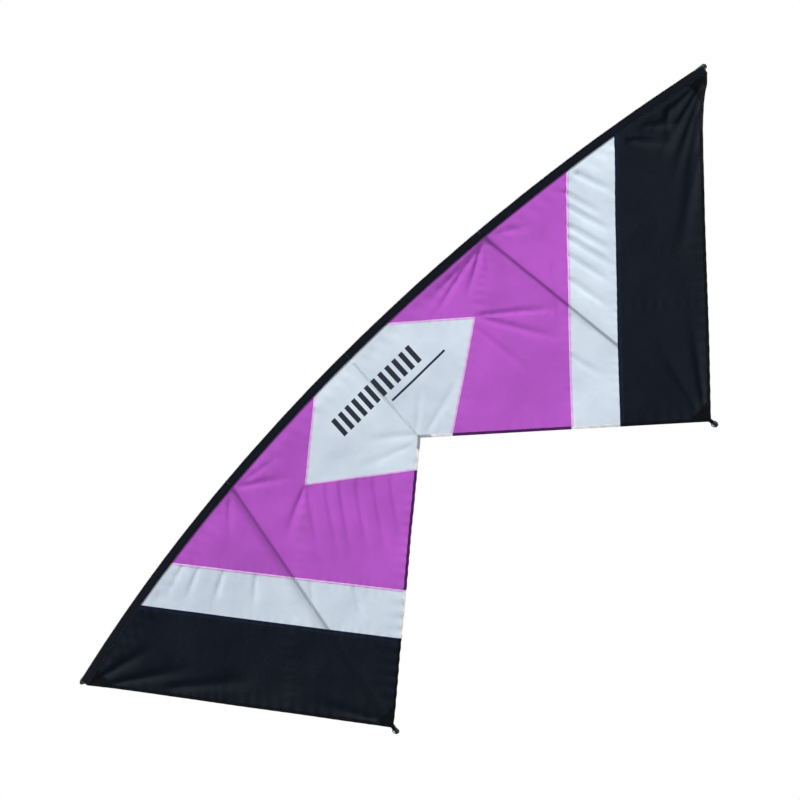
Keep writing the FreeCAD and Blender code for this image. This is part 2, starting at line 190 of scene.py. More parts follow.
def add_camera():
    """The camera stands far off, low and to the right, and is rolled to put the span on a diagonal."""
    look = unit((-0.2043, 0.9529, 0.2241))
    right = np.array((0.6968, 0.3024, -0.6505))
    right = unit(right - look * (right @ look))
    up = np.cross(right, look)
    camera = bpy.data.objects.new("camera", bpy.data.cameras.new("camera"))
    camera.data.lens = 176.5
    camera.data.sensor_width = 36.0
    camera.data.clip_end = 100.0
    turn = Matrix(np.array((right, up, -look)).T.tolist()).to_4x4()
    camera.matrix_world = Matrix.Translation((2.099, -9.667, -2.462)) @ turn
    bpy.context.scene.collection.objects.link(camera)
    bpy.context.scene.camera = camera


def add_light(name, kind, power, color, turn):
    """A light turned by a quaternion."""
    light = bpy.data.objects.new(name, bpy.data.lights.new(name, kind))
    light.data.energy = power
    light.data.color = color
    light.rotation_mode = "QUATERNION"
    light.rotation_quaternion = turn
    bpy.context.scene.collection.objects.link(light)
    return light


def add_area_light(name, place, target, size, power, color):
    """A square soft light that faces a target and isn't seen itself."""
    turn = (Vector(target) - Vector(place)).to_track_quat("-Z", "Y")
    light = add_light(name, "AREA", power, color, turn)
    light.data.size = size
    light.location = place
    light.visible_camera = False


def add_sun(name, direction, strength, angle, color):
    """A sun that shines from a direction, with its width in degrees."""
    light = add_light(name, "SUN", strength, color, Vector(direction).to_track_quat("Z", "Y"))
    light.data.angle = math.radians(angle)


def add_lights():
    """The sun stands behind the sail, so that it glows, and soft lights bring out its creases."""
    add_sun("back_sun", direction=(-0.10, 0.49, 0.866), strength=3.75, angle=2.0,
            color=(1.0, 0.985, 0.95))
    add_area_light("side_light", place=(3.4, 1.2, 0.2), target=(0.7, 0.0, -0.35), size=1.0,
                   power=46.0, color=(0.97, 0.99, 1.0))
    add_area_light("wing_light", place=(1.75, 2.5, 0.3), target=(0.7, 0.0, -0.35), size=0.25,
                   power=25.0, color=(1.0, 0.99, 0.97))
    add_area_light("front_light", place=(3.6, -4.9, 2.4), target=(0.6, 0.0, -0.3), size=1.5,
                   power=22.0, color=(0.90, 0.96, 1.0))


def add_world():
    """A white studio, dimmer as a light than it looks."""
    world = bpy.data.worlds.new("studio")
    world.use_nodes = True
    tree = world.node_tree
    tree.nodes.clear()
    seen = add(tree, "Background", {"Color": (1.0, 1.0, 1.0), "Strength": 1.0})
    lit = add(tree, "Background", {"Color": (0.62, 0.80, 1.0), "Strength": 0.11})
    to_camera = add(tree, "LightPath").outputs["Is Camera Ray"]
    add(tree, "OutputWorld", {"Surface": mixed_shader(tree, to_camera, lit, seen).outputs[0]})
    bpy.context.scene.world = world


def add_floor():
    """A plain pale floor, well below the flying kite."""
    mesh = bpy.data.meshes.new("floor")
    half, height = 45.0, -2.8
    corners = [(x * half, y * half, height) for x, y in ((-1, -1), (1, -1), (1, 1), (-1, 1))]
    mesh.from_pydata(corners, [], [(0, 1, 2, 3)])
    floor = bpy.data.objects.new("floor", mesh)
    material, tree, place = new_material("floor")
    mottle = noise(tree, place, 3.0, 6.0)
    color = mixed(tree, mottle, (0.54, 0.55, 0.57), (0.60, 0.60, 0.61))
    mesh.materials.append(finish_material(material, principled(tree, color, 0.8)))
    bpy.context.scene.collection.objects.link(floor)


# Material building blocks


def new_material(name):
    """An empty node material, its tree and its object coordinates."""
    material = bpy.data.materials.new(name)
    material.use_nodes = True
    tree = material.node_tree
    tree.nodes.clear()
    return material, tree, add(tree, "TexCoord").outputs["Object"]


def set_socket(tree, socket, value):
    """Link a socket to another one, or set it to a value or a colour."""
    if isinstance(value, bpy.types.NodeSocket):
        tree.links.new(value, socket)
    elif isinstance(value, tuple) and socket.type == "RGBA":
        socket.default_value = (*value, 1.0)
    else:
        socket.default_value = value


def add(tree, kind, inputs=None, **settings):
    """A shader node with its inputs linked or set."""
    node = tree.nodes.new("ShaderNode" + kind)
    for name, value in settings.items():
        setattr(node, name, value)
    for name, value in (inputs or {}).items():
        set_socket(tree, node.inputs[name], value)
    return node


def math_node(tree, operation, first, second=0.0):
    """The output of one Math node."""
    return add(tree, "Math", {0: first, 1: second}, operation=operation).outputs[0]


def product(tree, first, second):
    """Two values multiplied."""
    return math_node(tree, "MULTIPLY", first, second)


def raised(tree, height, other, share):
    """A height with a share of another one added."""
    return math_node(tree, "ADD", height, product(tree, other, share))


def mixed(tree, share, first, second):
    """The output of a colour mix."""
    node = add(tree, "Mix", data_type="RGBA")
    for socket, value in ((node.inputs[0], share), (node.inputs[6], first), (node.inputs[7], second)):
        set_socket(tree, socket, value)
    return node.outputs[2]


def mixed_shader(tree, share, first, second):
    """A mix of two shader nodes."""
    return add(tree, "MixShader", {"Fac": share, 1: first.outputs[0], 2: second.outputs[0]})


def principled(tree, color, roughness, more=None):
    """An opaque surface."""
    return add(tree, "BsdfPrincipled", {"Base Color": color, "Roughness": roughness, **(more or {})})


def noise(tree, place, scale, detail, **more):
    """The value of a noise texture."""
    node = add(tree, "TexNoise", {"Vector": place, "Scale": scale, "Detail": detail, **more})
    return node.outputs["Fac"]


def bands(tree, place, scale, direction, distortion=0.0, detail=2.0):
    """The value of a texture of soft bands."""
    node = add(tree, "TexWave", {"Vector": place, "Scale": scale, "Distortion": distortion,
                                 "Detail": detail}, wave_type="BANDS", bands_direction=direction)
    return node.outputs["Fac"]


def contrast(tree, value, low, high):
    """A value spread so that low gives 0 and high gives 1."""
    return add(tree, "MapRange", {"Value": value, "From Min": low, "From Max": high}).outputs["Result"]


def within(tree, value, low, high):
    """A value from 0 to 1 brought between low and high."""
    return add(tree, "MapRange", {"Value": value, "To Min": low, "To Max": high}).outputs["Result"]


def bumped(tree, height, strength, distance):
    """The surface's direction with a fine height on it."""
    return add(tree, "Bump", {"Height": height, "Strength": strength,
                              "Distance": distance}).outputs["Normal"]


def finish_material(material, shader):
    """The material, with a shader node as its surface."""
    add(material.node_tree, "OutputMaterial", {"Surface": shader.outputs[0]})
    return material


def tinted(color, factor):
    """A colour made lighter or darker."""
    return tuple(min(1.0, c * factor) for c in color)


def inside(tree, value, middle, reach, mask=1.0):
    """A mask of where a value lies within reach of a middle, within another mask."""
    apart = math_node(tree, "ABSOLUTE", math_node(tree, "SUBTRACT", value, middle))
    return product(tree, math_node(tree, "LESS_THAN", apart, reach), mask)


def bars(tree, x, z):
    """A mask of a plain row of equal bars over one thin rule, the only print."""
    row = inside(tree, z, -0.125, 0.027, inside(tree, x, 0.0, 0.150))
    bars_to_a_metre, bar_share = 40.0, 0.55
    beat = math_node(tree, "FRACT", product(tree, x, bars_to_a_metre))
    row = product(tree, row, math_node(tree, "LESS_THAN", beat, bar_share))
    rule = inside(tree, z, -0.175, 0.003, inside(tree, x, 0.105, 0.095))
    return math_node(tree, "MAXIMUM", row, rule)


def cloth_material(name, color, glow, through, roughness=0.5, specular=0.3, printed=False):
    """Ripstop nylon: a fine square grid, soft crinkles, uneven dye, and light that comes through."""
    material, tree, place = new_material(name)
    weave = add(tree, "UVMap", uv_map="weave").outputs["UV"]
    grid = add(tree, "TexBrick", {"Vector": weave, "Scale": 1000.0, "Mortar Size": 0.32,
                                  "Mortar Smooth": 0.5, "Brick Width": 5.0, "Row Height": 5.0},
               offset=0.0, squash=1.0).outputs["Fac"]
    threads = bands(tree, weave, 900.0, "DIAGONAL", 1.0)
    crinkle = noise(tree, place, 38.0, 5.0, Roughness=0.62, Distortion=0.6)
    uneven = contrast(tree, noise(tree, place, 6.5, 5.0, Roughness=0.6), 0.32, 0.68)
    on_grid = product(tree, grid, 0.35)
    seen = mixed(tree, uneven, tinted(color, 0.90), tinted(color, 1.06))
    seen = mixed(tree, on_grid, seen, tinted(color, 1.25))
    behind = mixed(tree, uneven, tinted(glow, 0.90), tinted(glow, 1.06))
    behind = mixed(tree, on_grid, behind, tinted(glow, 0.8))
    if printed:
        across = add(tree, "SeparateXYZ", {"Vector": place})
        ink = bars(tree, across.outputs["X"], across.outputs["Z"])
        seen = mixed(tree, ink, seen, (0.028, 0.034, 0.048))
        behind = mixed(tree, ink, behind, (0.035, 0.042, 0.060))
    height = raised(tree, raised(tree, crinkle, grid, 0.10), threads, 0.02)
    normal = bumped(tree, height, 0.8, 0.0016)
    gloss = within(tree, crinkle, roughness - 0.06, roughness + 0.10)
    front = principled(tree, seen, gloss, {"Specular IOR Level": specular, "Normal": normal})
    back = add(tree, "BsdfTranslucent", {"Color": behind, "Normal": normal})
    return finish_material(material, mixed_shader(tree, through, front, back))


def webbing_material(name, color, scale, roughness=0.75, through=0.0, sheen=0.12):
    """Woven polyester, for sleeves, tapes, patches and webbing."""
    material, tree, place = new_material(name)
    warp, weft = (bands(tree, place, scale, way, 0.4, 1.0) for way in ("X", "Z"))
    weave = product(tree, warp, weft)
    wear = noise(tree, place, 22.0, 6.0, Roughness=0.65)
    dyed = mixed(tree, contrast(tree, wear, 0.35, 0.75), tinted(color, 0.85), tinted(color, 1.30))
    dyed = mixed(tree, product(tree, weave, 0.35), dyed, tinted(color, 1.7))
    normal = bumped(tree, raised(tree, weave, wear, 2.0), 0.6, 0.0004)
    surface = principled(tree, dyed, roughness, {"Specular IOR Level": 0.22, "Sheen Weight": sheen,
                                                 "Sheen Roughness": 0.3, "Normal": normal})
    if through > 0:
        back = add(tree, "BsdfTranslucent", {"Color": dyed, "Normal": normal})
        surface = mixed_shader(tree, through, surface, back)
    return finish_material(material, surface)


def carbon_material():
    """Wrapped carbon tube: fine slanted tow lines under a clear, slightly scuffed coat."""
    material, tree, place = new_material("carbon_tube")
    tow = bands(tree, place, 210.0, "DIAGONAL", 2.5)
    color = mixed(tree, tow, (0.010, 0.010, 0.012), (0.034, 0.035, 0.040))
    gloss = within(tree, noise(tree, place, 160.0, 6.0), 0.26, 0.46)
    shader = principled(tree, color, gloss, {"Coat Weight": 0.3, "Coat Roughness": 0.2,
                                             "Normal": bumped(tree, tow, 0.4, 0.0001)})
    return finish_material(material, shader)


def plastic_material():
    """Moulded black plastic with a fine spark texture and rubbed, paler high spots."""
    material, tree, place = new_material("moulded_cap")
    rub = noise(tree, place, 140.0, 4.0)
    color = mixed(tree, rub, (0.012, 0.012, 0.013), (0.042, 0.042, 0.045))
    normal = bumped(tree, noise(tree, place, 2200.0, 3.0), 0.35, 0.0002)
    gloss = within(tree, rub, 0.38, 0.62)
    return finish_material(material, principled(tree, color, gloss, {"Normal": normal}))


def cord_material():
    """Braided shock cord: two crossing families of strands round the cord, with a few light flecks."""
    material, tree, _ = new_material("braided_cord")
    braid = add(tree, "UVMap", uv_map="weave").outputs["UV"]
    strands = []
    for turn in (0.9, -0.9):
        turned = add(tree, "VectorRotate", {"Vector": braid, "Angle": turn}, rotation_type="Z_AXIS")
        strands.append(bands(tree, turned.outputs["Vector"], 480.0, "X"))
    height = math_node(tree, "MAXIMUM", strands[0], strands[1])
    flecks = noise(tree, braid, 900.0, 2.0)
    color = mixed(tree, flecks, (0.010, 0.010, 0.013), (0.060, 0.060, 0.070))
    color = mixed(tree, product(tree, height, 0.3), color, (0.080, 0.080, 0.090))
    shader = principled(tree, color, 0.8, {"Sheen Weight": 0.2,
                                           "Normal": bumped(tree, height, 0.7, 0.0003)})
    return finish_material(material, shader)


def thread_material(name, color, through=0.0):
    """Bonded sewing thread, a little glossy, with a twist along it."""
    material, tree, place = new_material(name)
    twist = bands(tree, place, 1500.0, "DIAGONAL", 1.0)
    tone = mixed(tree, twist, tinted(color, 0.8), tinted(color, 1.15))
    shader = principled(tree, tone, 0.45)
    glow = add(tree, "BsdfTranslucent", {"Color": tone})
    return finish_material(material, mixed_shader(tree, through, shader, glow))


# Sail geometry


def distance_right(low, high, x, z):
    """How far points lie to the right of a line, when looking from its low end to its high end."""
    across, up = high[0] - low[0], high[1] - low[1]
    return ((x - low[0]) * up - (z - low[1]) * across) / math.hypot(across, up)


def between(start, end, distance):
    """The point a given distance from one outline point toward another."""
    run = unit(np.subtract(end, start))
    return np.asarray(start) + run * distance


def rulings(stations):
    """The ends of the straight lines that the taut cloth is made of."""
    share = np.clip(stations / SPAR_STATION, 0, 1)[..., None]
    return carried((0, 0, -SAIL_TOP), stations), NOTCH + (FOOT - NOTCH) * share


def taut_depth(x, z):
    """How far back the taut cloth lies at points on the right wing."""
    low = np.zeros_like(x)
    high = np.full_like(x, TIP_STATION)
    for _ in range(32):
        middle = (low + high) / 2
        top, foot = rulings(middle)
        run = top - foot
        outside = run[:, 0] * (z - foot[:, 2]) < run[:, 2] * (x - foot[:, 0])
        low = np.where(outside, middle, low)
        high = np.where(outside, high, middle)
    top, foot = rulings(low)
    share = (z - foot[:, 2]) / (top[:, 2] - foot[:, 2])
    return foot[:, 1] + share * (top[:, 1] - foot[:, 1])


def smooth(value, low, high):
    """A smooth step from 0 at low to 1 at high."""
    t = np.clip((value - low) / (high - low), 0, 1)
    return t * t * (3 - 2 * t)


# Folds in the cloth, as (start, end, half width at the end, height, and half width at the start
# where it isn't 5 mm). They are a little different on the two wings, as on the real sail.
SPAR_TOP = (0.468, -0.036)
FOLDS = {
    "right": [
        (SPAR_TOP, (0.205, -0.066), 0.0085, 0.0063),
        (SPAR_TOP, (0.215, -0.102), 0.009, 0.01),
        (SPAR_TOP, (0.32, -0.13), 0.009, 0.0106),
        (SPAR_TOP, (0.39, -0.165), 0.011, 0.0045),
        ((0.486, -0.036), (0.6, -0.11), 0.012, 0.0042),
        ((0.322, -0.168), (0.51, -0.318), 0.009, 0.0075),
        ((0.322, -0.174), (0.455, -0.39), 0.012, 0.0075),
        ((0.3, -0.19), (0.33, -0.42), 0.014, 0.0042),
        ((0.56, -0.2), (0.44, -0.38), 0.014, 0.0037, 0.006),
        ((0.7, -0.085), (0.735, -0.215), 0.009, 0.008),
        ((0.752, -0.064), (0.8, -0.2), 0.009, 0.0085),
        ((0.682, -0.118), (0.722, -0.26), 0.009, 0.01),
        ((0.65, -0.155), (0.69, -0.3), 0.009, 0.0115),
        ((0.63, -0.18), (0.668, -0.335), 0.0085, 0.0105),
        ((0.6, -0.213), (0.635, -0.365), 0.0085, 0.0085),
        ((0.56, -0.258), (0.588, -0.405), 0.009, 0.008),
        ((0.5, -0.33), (0.515, -0.45), 0.009, 0.0042),
        ((0.43, -0.41), (0.46, -0.53), 0.01, 0.0042),
        ((0.905, -0.1), (1.01, -0.215), 0.018, 0.008, 0.006),
        ((0.96, -0.1), (1.06, -0.19), 0.016, 0.007, 0.006),
        ((1.05, -0.105), (0.96, -0.2), 0.018, 0.008, 0.006),
        ((1.15, -0.11), (0.93, -0.14), 0.016, 0.0083),
        ((1.145, -0.12), (0.92, -0.205), 0.016, 0.01),
        ((1.13, -0.135), (0.89, -0.28), 0.018, 0.0095),
        ((1.1, -0.165), (0.85, -0.37), 0.02, 0.008, 0.006),
        ((1.03, -0.245), (0.76, -0.45), 0.022, 0.007, 0.008),
        ((0.59, -0.75), (0.75, -0.52), 0.02, 0.0072),
        ((0.575, -0.75), (0.62, -0.52), 0.02, 0.0063),
        ((0.0, -0.285), (0.12, -0.17), 0.016, 0.0028),
        ((0.02, -0.3), (0.23, -0.24), 0.016, 0.0025),
    ],
    "left": [
        (SPAR_TOP, (0.3, -0.07), 0.009, 0.0057),
        (SPAR_TOP, (0.315, -0.14), 0.011, 0.007),
        ((0.486, -0.038), (0.6, -0.15), 0.014, 0.005),
        ((0.322, -0.172), (0.47, -0.242), 0.018, 0.008),
        ((0.318, -0.178), (0.42, -0.34), 0.013, 0.0063),
        ((0.275, -0.205), (0.39, -0.39), 0.012, 0.0063),
        ((0.242, -0.228), (0.364, -0.415), 0.011, 0.007),
        ((0.204, -0.255), (0.326, -0.44), 0.011, 0.0063),
        ((0.166, -0.283), (0.288, -0.47), 0.011, 0.0057),
        ((0.128, -0.31), (0.24, -0.48), 0.011, 0.005),
        ((0.72, -0.08), (0.83, -0.11), 0.012, 0.0037),
        ((0.69, -0.115), (0.8, -0.16), 0.012, 0.0045),
        ((0.64, -0.17), (0.74, -0.22), 0.012, 0.0047),
        ((0.58, -0.24), (0.66, -0.31), 0.012, 0.0042),
        ((0.48, -0.355), (0.54, -0.44), 0.012, 0.0042),
        ((0.4, -0.445), (0.45, -0.54), 0.012, 0.0037),
        ((1.145, -0.115), (0.92, -0.18), 0.018, 0.0075),
        ((1.11, -0.155), (0.87, -0.31), 0.02, 0.0075),
        ((1.0, -0.27), (0.74, -0.47), 0.022, 0.0063, 0.008),
        ((0.59, -0.75), (0.72, -0.56), 0.02, 0.0063),
        ((0.0, -0.285), (0.14, -0.18), 0.016, 0.0028),
        ((0.02, -0.3), (0.22, -0.225), 0.016, 0.0025),
    ],
}

SEAMS = [(WHITE_POINT, WHITE_TOP), (WHITE_FOOT, WHITE_POINT),
         (STRIPE_IN_FOOT, STRIPE_IN_TOP), (STRIPE_OUT_FOOT, STRIPE_OUT_TOP)]


def fold(x, z, start, end, width_end, height, width_start=0.005):
    """One fold, sharp where it starts and fading where it ends, that stands out to the front."""
    run = np.subtract(end, start)
    length = math.hypot(*run)
    along = ((x - start[0]) * run[0] + (z - start[1]) * run[1]) / length**2
    aside = distance_right(start, end, x, z)
    width = width_start + (width_end - width_start) * np.clip(along, 0, 1)
    rise, fade = (-0.04, 0.12), (0.35, 1.0)
    strength = smooth(along, *rise) * (1 - smooth(along, *fade))
    return -height * strength * np.exp(-((aside / width) ** 2))


def lumps(x, z, size, seed):
    """Soft seeded unevenness, from -1 to 1, with lumps about as wide as size."""
    cells = 64
    table = np.random.default_rng(seed).uniform(-1, 1, (cells, cells))
    u, v = x / size + 7.3, z / size + 41.9
    column, row = np.floor(u).astype(int), np.floor(v).astype(int)
    s, t = smooth(u - column, 0, 1), smooth(v - row, 0, 1)
    left, right = column % cells, (column + 1) % cells
    low, high = (table[r % cells, left] * (1 - s) + table[r % cells, right] * s for r in (row, row + 1))
    return low * (1 - t) + high * t


def puckers(x, z, low, high, pitch, height, reach, seed):
    """Small gathers that a line of stitching pulls into the cloth beside it."""
    run = unit(np.subtract(high, low))
    along = (x - low[0]) * run[0] + (z - low[1]) * run[1]
    aside = np.abs(distance_right(low, high, x, z))
    wander = lumps(along, along * 0, pitch * 5, seed) * 1.6
    swell = 0.65 + 0.35 * lumps(along, along * 0, pitch * 8, seed + 1)
    wave = np.sin(along * 2 * math.pi / pitch + wander * math.pi)
    return height * wave * swell * np.exp(-aside / reach)


# Soft lumps in the cloth, as (height, size).
LUMPS = ((0.0045, 0.15), (0.0014, 0.050))

# Gathers beside a line of stitching, as (pitch, height, how far into the cloth they reach).
SEAM_GATHERS = (0.026, 0.0011, 0.013)
LEECH_GATHERS = (0.034, 0.0019, 0.022)
TRAILING_GATHERS = (0.030, 0.0023, 0.022)


def sleeve_gathers(x, below, seed):
    """Small gathers under the sleeve, at points a given way below the leading edge tube."""
    height, pitch, middle, spread = 0.0015, 0.037, 0.045, 0.018
    wander = 2.2 * lumps(x, x * 0, 0.15, seed)
    return height * np.sin(x * 2 * math.pi / pitch + wander) * np.exp(-((below - middle) / spread) ** 2)


def relief(x, z, wing):
    """How far the cloth stands off its taut shape, to the back.

    It is flat under the sleeve's hem, and doesn't stand back into the down spar.
    """
    seed = CLOTH_SEEDS[wing]
    total = np.zeros_like(x)
    for entry in FOLDS[wing]:
        total += fold(x, z, *entry)
    total += sum(height * lumps(x, z, size, seed + i) for i, (height, size) in enumerate(LUMPS))
    for i, (low, high) in enumerate(SEAMS):
        total += puckers(x, z, low, high, *SEAM_GATHERS, seed + 5 + 2 * i)
    total += puckers(x, z, FOOT_FLAT, SAIL_TIP, *LEECH_GATHERS, seed + 21)
    total += puckers(x, z, FOOT_FLAT, NOTCH_FLAT, *TRAILING_GATHERS, seed + 23)
    below = leading_height(x) - z
    total += sleeve_gathers(x, below, seed + 31)
    total *= smooth(below, BACK_HEM_LOW, RELIEF_FULL)
    from_spar = np.abs(distance_right(FOOT_FLAT, SPAR_PIVOT[[0, 2]], x, z))
    return total * np.where(total > 0, smooth(from_spar, *SPAR_FLAT), 1.0)


ARC_STATIONS = np.linspace(-0.05, TIP_STATION + 0.05, 400)
ARC_LINE = carried((0, 0, 0), ARC_STATIONS)
TOP_LINE = carried((0, 0, -HIDDEN_TOP), ARC_STATIONS)


def leading_height(x):
    """How high the leading edge tube's centre lies at points across the right wing."""
    return np.interp(x, ARC_LINE[:, 0], ARC_LINE[:, 2])


def hollowed(x, z, wing):
    """Where a wing's flat points go when its outer edge is drawn in a little."""
    run = unit(SAIL_TIP - FOOT_FLAT)
    length = np.linalg.norm(SAIL_TIP - FOOT_FLAT)
    along = ((x - FOOT_FLAT[0]) * run[0] + (z - FOOT_FLAT[1]) * run[1]) / length
    from_edge = -distance_right(FOOT_FLAT, SAIL_TIP, x, z)
    depth = LEECH_HOLLOW[wing] * np.interp(along, HOLLOW_ALONG, HOLLOW_SHARE)
    depth = depth * (1 - smooth(from_edge, 0.0, HOLLOW_REACH))
    depth = depth * smooth(leading_height(x) - z, HEM_CLEAR, HEM_FAR)
    return x - run[1] * depth, z + run[0] * depth


def cut(mesh, low, high, shift=0.0, keep=None):
    """Cut the flat wing along a line moved to the right by shift, and perhaps keep one side."""
    run = Vector((high[0] - low[0], 0, high[1] - low[1])).normalized()
    right = Vector((run.z, 0, -run.x))
    bmesh.ops.bisect_plane(mesh, geom=mesh.verts[:] + mesh.edges[:] + mesh.faces[:], dist=1e-5,
                           plane_co=Vector((low[0], 0, low[1])) + right * shift, plane_no=right,
                           clear_outer=keep == "left", clear_inner=keep == "right")


TIP_PATCH_LOW = between(SAIL_TIP, FOOT_FLAT, TIP_PATCH_DOWN)
TIP_PATCH_HIGH = carried((0, 0, -SAIL_TOP), SLEEVE_END - TIP_PATCH_ALONG)[[0, 2]]
FOOT_PATCH_IN = between(FOOT_FLAT, NOTCH_FLAT, FOOT_PATCH)
FOOT_PATCH_OUT = between(FOOT_FLAT, SAIL_TIP, FOOT_PATCH)


def flat_wing():
    """The right wing laid flat: points (across, up) and faces, cut along every seam and hem."""
    xs = np.arange(0, SAIL_TIP[0] + CELL, CELL)
    zs = np.arange(FOOT[2] - CELL, 0, CELL)
    x, z = (g.ravel() for g in np.meshgrid(xs, zs))
    top = np.interp(x, TOP_LINE[:, 0], TOP_LINE[:, 2])
    wanted = (z < top + CELL) & (distance_right(FOOT_FLAT, SAIL_TIP, x, z) < 2 * CELL)
    wanted &= distance_right(FOOT_FLAT, NOTCH_FLAT, x, z) > -2 * CELL
    z = np.minimum(z, top)
    rows = len(xs)
    faces = []
    for i in range(len(zs) - 1):
        for j in range(rows - 1):
            a = i * rows + j
            if wanted[a] and wanted[a + 1] and wanted[a + rows] and wanted[a + rows + 1]:
                faces.append((a, a + 1, a + rows + 1, a + rows))
    flat = bpy.data.meshes.new("flat_wing")
    flat.from_pydata(np.column_stack((x, x * 0, z)).tolist(), [], faces)
    mesh = bmesh.new()
    mesh.from_mesh(flat)
    bpy.data.meshes.remove(flat)
    squashed = [f for f in mesh.faces if f.calc_area() < 1e-8]
    bmesh.ops.delete(mesh, geom=squashed, context="FACES")
    cut(mesh, FOOT_FLAT, SAIL_TIP, keep="left")
    cut(mesh, FOOT_FLAT, NOTCH_FLAT, keep="right")
    for low, high in SEAMS:
        cut(mesh, low, high)
    cut(mesh, FOOT_FLAT, SAIL_TIP, -HEM_WIDTH)
    cut(mesh, FOOT_FLAT, NOTCH_FLAT, HEM_WIDTH)
    cut(mesh, WHITE_POINT, WHITE_TOP, -PINK_OVERLAP)
    cut(mesh, WHITE_FOOT, WHITE_POINT, -PINK_OVERLAP)
    cut(mesh, STRIPE_IN_FOOT, STRIPE_IN_TOP, PINK_OVERLAP)
    cut(mesh, STRIPE_OUT_FOOT, STRIPE_OUT_TOP, NAVY_OVERLAP)
    cut(mesh, (CENTER_OVERLAP, -1), (CENTER_OVERLAP, 0))
    cut(mesh, (NOTCH_REACH, -1), (NOTCH_REACH, 0))
    cut(mesh, TIP_PATCH_LOW, TIP_PATCH_HIGH)
    cut(mesh, FOOT_PATCH_IN, FOOT_PATCH_OUT)
    mesh.verts.index_update()
    points = np.array([(v.co.x, v.co.z) for v in mesh.verts])
    loops = [[v.index for v in f.verts] for f in mesh.faces]
    mesh.free()
    return points, loops


def link_mesh(name, vertices, faces, material, side=1):
    """A new mesh object, mirrored to the left wing if side is -1, shaded smooth."""
    vertices = np.asarray(vertices, float)
    if side < 0:
        vertices = vertices * MIRROR
        faces = [tuple(reversed(f)) for f in faces]
    mesh = bpy.data.meshes.new(name)
    mesh.from_pydata(vertices.tolist(), [], [tuple(f) for f in faces])
    mesh.shade_smooth()
    mesh.materials.append(material)
    piece = bpy.data.objects.new(name, mesh)
    bpy.context.scene.collection.objects.link(piece)
    return piece


def set_weave(piece, uv):
    """Give a piece its weave coordinates, in metres, one pair for each vertex."""
    layer = piece.data.uv_layers.new(name="weave")
    index = np.zeros(len(piece.data.loops), int)
    piece.data.loops.foreach_get("vertex_index", index)
    layer.data.foreach_set("uv", np.asarray(uv, float)[index].ravel())


def thicken(piece, thickness, offset=0.0):
    """Give a thin piece its real thickness, centred on its surface unless offset says otherwise."""
    modifier = piece.modifiers.new("thickness", "SOLIDIFY")
    modifier.thickness = thickness
    modifier.offset = offset
    modifier.use_quality_normals = True


class Wing:
    """One wing's cloth, from which panels, hems, overlaps and patches are taken."""

    def __init__(self, name, points, faces):
        self.name = name
        self.side = SIDES[name]
        self.flat = points
        self.faces = faces
        x, z = hollowed(*points.T, name)
        self.vertices = np.column_stack((x, taut_depth(x, z) + relief(x, z, name), z))
        centres = np.array([points[f].mean(0) for f in faces])
        self.x, self.z = centres.T
        self.tree = BVHTree.FromPolygons(self.vertices.tolist(), self.faces)

    def right_of(self, low, high, shift=0.0):
        """Which faces lie to the right of a line moved to the right by shift."""
        return distance_right(low, high, self.x, self.z) > shift

    def take(self, name, mask, material, grain=0.0):
        """A piece made of the chosen faces, with its weave turned by an angle."""
        chosen = [self.faces[i] for i in np.flatnonzero(mask)]
        used = sorted({v for f in chosen for v in f})
        new = {v: i for i, v in enumerate(used)}
        piece = link_mesh(f"{name}_{self.name}", self.vertices[used],
                          [[new[v] for v in f] for f in chosen], material, self.side)
        c, s = math.cos(grain), math.sin(grain)
        set_weave(piece, self.flat[used] @ np.array(((c, -s), (s, c))))
        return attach(piece, "sail")

    def surface_depth(self, x, z):
        """How far back the finished cloth lies at one point."""
        hit = self.tree.ray_cast(Vector((x, -1, z)), Vector((0, 1, 0)))[0]
        if hit is None:
            hit = self.tree.find_nearest(Vector((x, 0.05, z)))[0]
        return hit.y


def grain_of(low, high):
    """The angle that lays the weave along a line."""
    return math.atan2(high[0] - low[0], high[1] - low[1])


def stand_for(node):
    """Let a piece show in place of a CAD node, by hiding the node."""
    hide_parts(node)


